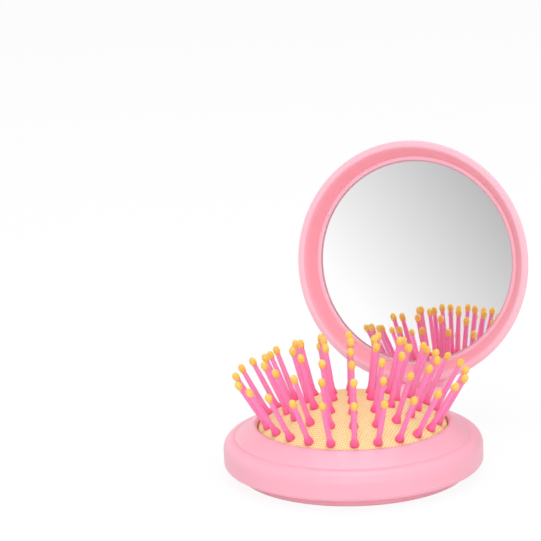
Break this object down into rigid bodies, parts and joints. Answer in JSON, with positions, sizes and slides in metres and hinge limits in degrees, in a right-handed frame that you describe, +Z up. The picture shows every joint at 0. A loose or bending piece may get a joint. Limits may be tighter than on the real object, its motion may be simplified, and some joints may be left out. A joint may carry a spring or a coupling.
{
  "type": "folding pop-up hairbrush with mirror",
  "caption": "Round compact hairbrush with a pop-up rubber bristle pad, a push button under it and a hinged lid that holds a mirror.",
  "frame": {"origin": "centre of the foot ring, in the plane that the base stands on", "axes": "+Z up out of the bristle pad, +X along the hinge pin, +Y from the base's centre towards the hinge; the lid is open"},
  "size_m": [0.072, 0.0986, 0.0838],
  "materials": {
    "shell_pink": "moulded satin, pastel pink",
    "foot_pink": "moulded satin, deeper pink",
    "ring_white": "moulded, natural white",
    "pin_steel": "drawn steel wire",
    "pad_rubber": "cream rubber with a fine woven grain",
    "button_pink": "moulded satin pink",
    "bristle_pink": "moulded hot pink nylon",
    "tip_yellow": "dipped yellow resin ball tips",
    "mirror_silver": "silvered glass",
    "tape_white": "double-sided foam tape",
    "bezel_pink": "moulded pink trim ring",
    "glitter_film": "silvery glitter film under clear resin",
    "stone_violet": "faceted violet acrylic with a foil back",
    "stone_pink": "faceted pink acrylic with a foil back"
  },
  "bodies": {
    "base": {"base_lower_shell": "shell_pink", "base_top_ring": "shell_pink", "foot_ring": "foot_pink", "pad_clamp_ring": "ring_white", "hinge_pin": "pin_steel"},
    "lid": {"lid_shell": "shell_pink", "mirror_glass": "mirror_silver", "mirror_tape": "tape_white", "mirror_bezel": "bezel_pink", "decorated_panel": "glitter_film", "violet_stones": "stone_violet", "pink_stones": "stone_pink"},
    "pad": {"brush_pad": "pad_rubber"},
    "button": {"push_button": "button_pink", "centre_bristles": "bristle_pink"},
    "outer_bristles_01": {"outer_bristles_01": "bristle_pink"},
    "outer_bristles_02": {"outer_bristles_02": "bristle_pink"},
    "outer_bristles_03": {"outer_bristles_03": "bristle_pink"},
    "outer_bristles_04": {"outer_bristles_04": "bristle_pink"},
    "outer_bristles_05": {"outer_bristles_05": "bristle_pink"},
    "outer_bristles_06": {"outer_bristles_06": "bristle_pink"},
    "outer_bristles_07": {"outer_bristles_07": "bristle_pink"},
    "outer_bristles_08": {"outer_bristles_08": "bristle_pink"},
    "outer_bristles_09": {"outer_bristles_09": "bristle_pink"},
    "outer_bristles_10": {"outer_bristles_10": "bristle_pink"},
    "outer_bristles_11": {"outer_bristles_11": "bristle_pink"},
    "outer_bristles_12": {"outer_bristles_12": "bristle_pink"},
    "outer_bristles_13": {"outer_bristles_13": "bristle_pink"},
    "outer_bristles_14": {"outer_bristles_14": "bristle_pink"},
    "outer_bristles_15": {"outer_bristles_15": "bristle_pink"},
    "outer_bristles_16": {"outer_bristles_16": "bristle_pink"},
    "outer_bristles_17": {"outer_bristles_17": "bristle_pink"},
    "outer_bristles_18": {"outer_bristles_18": "bristle_pink"},
    "outer_bristles_19": {"outer_bristles_19": "bristle_pink"},
    "outer_bristles_20": {"outer_bristles_20": "bristle_pink"},
    "outer_bristles_21": {"outer_bristles_21": "bristle_pink"},
    "outer_bristles_22": {"outer_bristles_22": "bristle_pink"},
    "outer_bristles_23": {"outer_bristles_23": "bristle_pink"},
    "outer_bristles_24": {"outer_bristles_24": "bristle_pink"},
    "middle_bristle_01": {"middle_bristle_01": "bristle_pink"},
    "middle_bristle_02": {"middle_bristle_02": "bristle_pink"},
    "middle_bristle_03": {"middle_bristle_03": "bristle_pink"},
    "middle_bristle_04": {"middle_bristle_04": "bristle_pink"},
    "middle_bristle_05": {"middle_bristle_05": "bristle_pink"},
    "middle_bristle_06": {"middle_bristle_06": "bristle_pink"},
    "middle_bristle_07": {"middle_bristle_07": "bristle_pink"},
    "middle_bristle_08": {"middle_bristle_08": "bristle_pink"},
    "middle_bristle_09": {"middle_bristle_09": "bristle_pink"},
    "middle_bristle_10": {"middle_bristle_10": "bristle_pink"},
    "middle_bristle_11": {"middle_bristle_11": "bristle_pink"},
    "middle_bristle_12": {"middle_bristle_12": "bristle_pink"}
  },
  "joints": [
    {"name": "lid_hinge", "type": "hinge", "parent": "base", "child": "lid", "pos_m": [0, 0.041, 0.008], "axis": [1, 0, 0], "range_deg": [0, 98]},
    {"name": "pad_sink", "type": "slide", "parent": "base", "child": "pad", "axis": [0, 0, 1], "range_m": [-0.01641, 0], "deforming": ["brush_pad"]},
    {"name": "button_travel", "type": "slide", "parent": "pad", "child": "button", "axis": [0, 0, 1], "range_m": [-0.00601, 0]},
    {"name": "outer_fold_01", "type": "hinge", "parent": "pad", "child": "outer_bristles_01", "pos_m": [0.00878, -0.02121, 0.01274], "axis": [-0.9239, -0.3827, 0], "range_deg": [0, 31.46]},
    {"name": "outer_fold_02", "type": "hinge", "parent": "pad", "child": "outer_bristles_02", "pos_m": [0.01397, -0.01821, 0.01274], "axis": [-0.7934, -0.6088, 0], "range_deg": [0, 31.46]},
    {"name": "outer_fold_03", "type": "hinge", "parent": "pad", "child": "outer_bristles_03", "pos_m": [0.01821, -0.01397, 0.01274], "axis": [-0.6088, -0.7934, 0], "range_deg": [0, 31.46]},
    {"name": "outer_fold_04", "type": "hinge", "parent": "pad", "child": "outer_bristles_04", "pos_m": [0.02121, -0.00878, 0.01274], "axis": [-0.3827, -0.9239, 0], "range_deg": [0, 31.46]},
    {"name": "outer_fold_05", "type": "hinge", "parent": "pad", "child": "outer_bristles_05", "pos_m": [0.02276, -0.003, 0.01274], "axis": [-0.1305, -0.9914, 0], "range_deg": [0, 31.46]},
    {"name": "outer_fold_06", "type": "hinge", "parent": "pad", "child": "outer_bristles_06", "pos_m": [0.02276, 0.003, 0.01274], "axis": [0.1305, -0.9914, 0], "range_deg": [0, 31.46]},
    {"name": "outer_fold_07", "type": "hinge", "parent": "pad", "child": "outer_bristles_07", "pos_m": [0.02121, 0.00878, 0.01274], "axis": [0.3827, -0.9239, 0], "range_deg": [0, 31.46]},
    {"name": "outer_fold_08", "type": "hinge", "parent": "pad", "child": "outer_bristles_08", "pos_m": [0.01821, 0.01397, 0.01274], "axis": [0.6088, -0.7934, 0], "range_deg": [0, 31.46]},
    {"name": "outer_fold_09", "type": "hinge", "parent": "pad", "child": "outer_bristles_09", "pos_m": [0.01397, 0.01821, 0.01274], "axis": [0.7934, -0.6088, 0], "range_deg": [0, 31.46]},
    {"name": "outer_fold_10", "type": "hinge", "parent": "pad", "child": "outer_bristles_10", "pos_m": [0.00878, 0.02121, 0.01274], "axis": [0.9239, -0.3827, 0], "range_deg": [0, 31.46]},
    {"name": "outer_fold_11", "type": "hinge", "parent": "pad", "child": "outer_bristles_11", "pos_m": [0.003, 0.02276, 0.01274], "axis": [0.9914, -0.1305, 0], "range_deg": [0, 31.46]},
    {"name": "outer_fold_12", "type": "hinge", "parent": "pad", "child": "outer_bristles_12", "pos_m": [-0.003, 0.02276, 0.01274], "axis": [0.9914, 0.1305, 0], "range_deg": [0, 31.46]},
    {"name": "outer_fold_13", "type": "hinge", "parent": "pad", "child": "outer_bristles_13", "pos_m": [-0.00878, 0.02121, 0.01274], "axis": [0.9239, 0.3827, 0], "range_deg": [0, 31.46]},
    {"name": "outer_fold_14", "type": "hinge", "parent": "pad", "child": "outer_bristles_14", "pos_m": [-0.01397, 0.01821, 0.01274], "axis": [0.7934, 0.6088, 0], "range_deg": [0, 31.46]},
    {"name": "outer_fold_15", "type": "hinge", "parent": "pad", "child": "outer_bristles_15", "pos_m": [-0.01821, 0.01397, 0.01274], "axis": [0.6088, 0.7934, 0], "range_deg": [0, 31.46]},
    {"name": "outer_fold_16", "type": "hinge", "parent": "pad", "child": "outer_bristles_16", "pos_m": [-0.02121, 0.00878, 0.01274], "axis": [0.3827, 0.9239, 0], "range_deg": [0, 31.46]},
    {"name": "outer_fold_17", "type": "hinge", "parent": "pad", "child": "outer_bristles_17", "pos_m": [-0.02276, 0.003, 0.01274], "axis": [0.1305, 0.9914, 0], "range_deg": [0, 31.46]},
    {"name": "outer_fold_18", "type": "hinge", "parent": "pad", "child": "outer_bristles_18", "pos_m": [-0.02276, -0.003, 0.01274], "axis": [-0.1305, 0.9914, 0], "range_deg": [0, 31.46]},
    {"name": "outer_fold_19", "type": "hinge", "parent": "pad", "child": "outer_bristles_19", "pos_m": [-0.02121, -0.00878, 0.01274], "axis": [-0.3827, 0.9239, 0], "range_deg": [0, 31.46]},
    {"name": "outer_fold_20", "type": "hinge", "parent": "pad", "child": "outer_bristles_20", "pos_m": [-0.01821, -0.01397, 0.01274], "axis": [-0.6088, 0.7934, 0], "range_deg": [0, 31.46]},
    {"name": "outer_fold_21", "type": "hinge", "parent": "pad", "child": "outer_bristles_21", "pos_m": [-0.01397, -0.01821, 0.01274], "axis": [-0.7934, 0.6088, 0], "range_deg": [0, 31.46]},
    {"name": "outer_fold_22", "type": "hinge", "parent": "pad", "child": "outer_bristles_22", "pos_m": [-0.00878, -0.02121, 0.01274], "axis": [-0.9239, 0.3827, 0], "range_deg": [0, 31.46]},
    {"name": "outer_fold_23", "type": "hinge", "parent": "pad", "child": "outer_bristles_23", "pos_m": [-0.003, -0.02276, 0.01274], "axis": [-0.9914, 0.1305, 0], "range_deg": [0, 31.46]},
    {"name": "outer_fold_24", "type": "hinge", "parent": "pad", "child": "outer_bristles_24", "pos_m": [0.003, -0.02276, 0.01274], "axis": [-0.9914, -0.1305, 0], "range_deg": [0, 31.46]},
    {"name": "middle_fold_01", "type": "hinge", "parent": "button", "child": "middle_bristle_01", "pos_m": [0.00439, -0.0106, 0.01768], "axis": [-0.9239, -0.3827, 0], "range_deg": [0, 17.71]},
    {"name": "middle_fold_02", "type": "hinge", "parent": "button", "child": "middle_bristle_02", "pos_m": [0.00911, -0.00699, 0.01768], "axis": [-0.6088, -0.7934, 0], "range_deg": [0, 17.71]},
    {"name": "middle_fold_03", "type": "hinge", "parent": "button", "child": "middle_bristle_03", "pos_m": [0.01138, -0.0015, 0.01768], "axis": [-0.1305, -0.9914, 0], "range_deg": [0, 17.71]},
    {"name": "middle_fold_04", "type": "hinge", "parent": "button", "child": "middle_bristle_04", "pos_m": [0.0106, 0.00439, 0.01768], "axis": [0.3827, -0.9239, 0], "range_deg": [0, 17.71]},
    {"name": "middle_fold_05", "type": "hinge", "parent": "button", "child": "middle_bristle_05", "pos_m": [0.00699, 0.00911, 0.01768], "axis": [0.7934, -0.6088, 0], "range_deg": [0, 17.71]},
    {"name": "middle_fold_06", "type": "hinge", "parent": "button", "child": "middle_bristle_06", "pos_m": [0.0015, 0.01138, 0.01768], "axis": [0.9914, -0.1305, 0], "range_deg": [0, 17.71]},
    {"name": "middle_fold_07", "type": "hinge", "parent": "button", "child": "middle_bristle_07", "pos_m": [-0.00439, 0.0106, 0.01768], "axis": [0.9239, 0.3827, 0], "range_deg": [0, 17.71]},
    {"name": "middle_fold_08", "type": "hinge", "parent": "button", "child": "middle_bristle_08", "pos_m": [-0.00911, 0.00699, 0.01768], "axis": [0.6088, 0.7934, 0], "range_deg": [0, 17.71]},
    {"name": "middle_fold_09", "type": "hinge", "parent": "button", "child": "middle_bristle_09", "pos_m": [-0.01138, 0.0015, 0.01768], "axis": [0.1305, 0.9914, 0], "range_deg": [0, 17.71]},
    {"name": "middle_fold_10", "type": "hinge", "parent": "button", "child": "middle_bristle_10", "pos_m": [-0.0106, -0.00439, 0.01768], "axis": [-0.3827, 0.9239, 0], "range_deg": [0, 17.71]},
    {"name": "middle_fold_11", "type": "hinge", "parent": "button", "child": "middle_bristle_11", "pos_m": [-0.00699, -0.00911, 0.01768], "axis": [-0.7934, 0.6088, 0], "range_deg": [0, 17.71]},
    {"name": "middle_fold_12", "type": "hinge", "parent": "button", "child": "middle_bristle_12", "pos_m": [-0.0015, -0.01138, 0.01768], "axis": [-0.9914, 0.1305, 0], "range_deg": [0, 17.71]}
  ],
  "couplings": [
    {"joint": "pad_sink", "follows": "lid_hinge", "m_per_rad": -0.0095883},
    {"joint": "button_travel", "follows": "lid_hinge", "m_per_rad": -0.0035079},
    {"joint": "outer_fold_01", "follows": "lid_hinge", "ratio": 0.32087},
    {"joint": "outer_fold_02", "follows": "lid_hinge", "ratio": 0.32087},
    {"joint": "outer_fold_03", "follows": "lid_hinge", "ratio": 0.32087},
    {"joint": "outer_fold_04", "follows": "lid_hinge", "ratio": 0.32087},
    {"joint": "outer_fold_05", "follows": "lid_hinge", "ratio": 0.32087},
    {"joint": "outer_fold_06", "follows": "lid_hinge", "ratio": 0.32087},
    {"joint": "outer_fold_07", "follows": "lid_hinge", "ratio": 0.32087},
    {"joint": "outer_fold_08", "follows": "lid_hinge", "ratio": 0.32087},
    {"joint": "outer_fold_09", "follows": "lid_hinge", "ratio": 0.32087},
    {"joint": "outer_fold_10", "follows": "lid_hinge", "ratio": 0.32087},
    {"joint": "outer_fold_11", "follows": "lid_hinge", "ratio": 0.32087},
    {"joint": "outer_fold_12", "follows": "lid_hinge", "ratio": 0.32087},
    {"joint": "outer_fold_13", "follows": "lid_hinge", "ratio": 0.32087},
    {"joint": "outer_fold_14", "follows": "lid_hinge", "ratio": 0.32087},
    {"joint": "outer_fold_15", "follows": "lid_hinge", "ratio": 0.32087},
    {"joint": "outer_fold_16", "follows": "lid_hinge", "ratio": 0.32087},
    {"joint": "outer_fold_17", "follows": "lid_hinge", "ratio": 0.32087},
    {"joint": "outer_fold_18", "follows": "lid_hinge", "ratio": 0.32087},
    {"joint": "outer_fold_19", "follows": "lid_hinge", "ratio": 0.32087},
    {"joint": "outer_fold_20", "follows": "lid_hinge", "ratio": 0.32087},
    {"joint": "outer_fold_21", "follows": "lid_hinge", "ratio": 0.32087},
    {"joint": "outer_fold_22", "follows": "lid_hinge", "ratio": 0.32087},
    {"joint": "outer_fold_23", "follows": "lid_hinge", "ratio": 0.32087},
    {"joint": "outer_fold_24", "follows": "lid_hinge", "ratio": 0.32087},
    {"joint": "middle_fold_01", "follows": "lid_hinge", "ratio": 0.18061},
    {"joint": "middle_fold_02", "follows": "lid_hinge", "ratio": 0.18061},
    {"joint": "middle_fold_03", "follows": "lid_hinge", "ratio": 0.18061},
    {"joint": "middle_fold_04", "follows": "lid_hinge", "ratio": 0.18061},
    {"joint": "middle_fold_05", "follows": "lid_hinge", "ratio": 0.18061},
    {"joint": "middle_fold_06", "follows": "lid_hinge", "ratio": 0.18061},
    {"joint": "middle_fold_07", "follows": "lid_hinge", "ratio": 0.18061},
    {"joint": "middle_fold_08", "follows": "lid_hinge", "ratio": 0.18061},
    {"joint": "middle_fold_09", "follows": "lid_hinge", "ratio": 0.18061},
    {"joint": "middle_fold_10", "follows": "lid_hinge", "ratio": 0.18061},
    {"joint": "middle_fold_11", "follows": "lid_hinge", "ratio": 0.18061},
    {"joint": "middle_fold_12", "follows": "lid_hinge", "ratio": 0.18061}
  ]
}
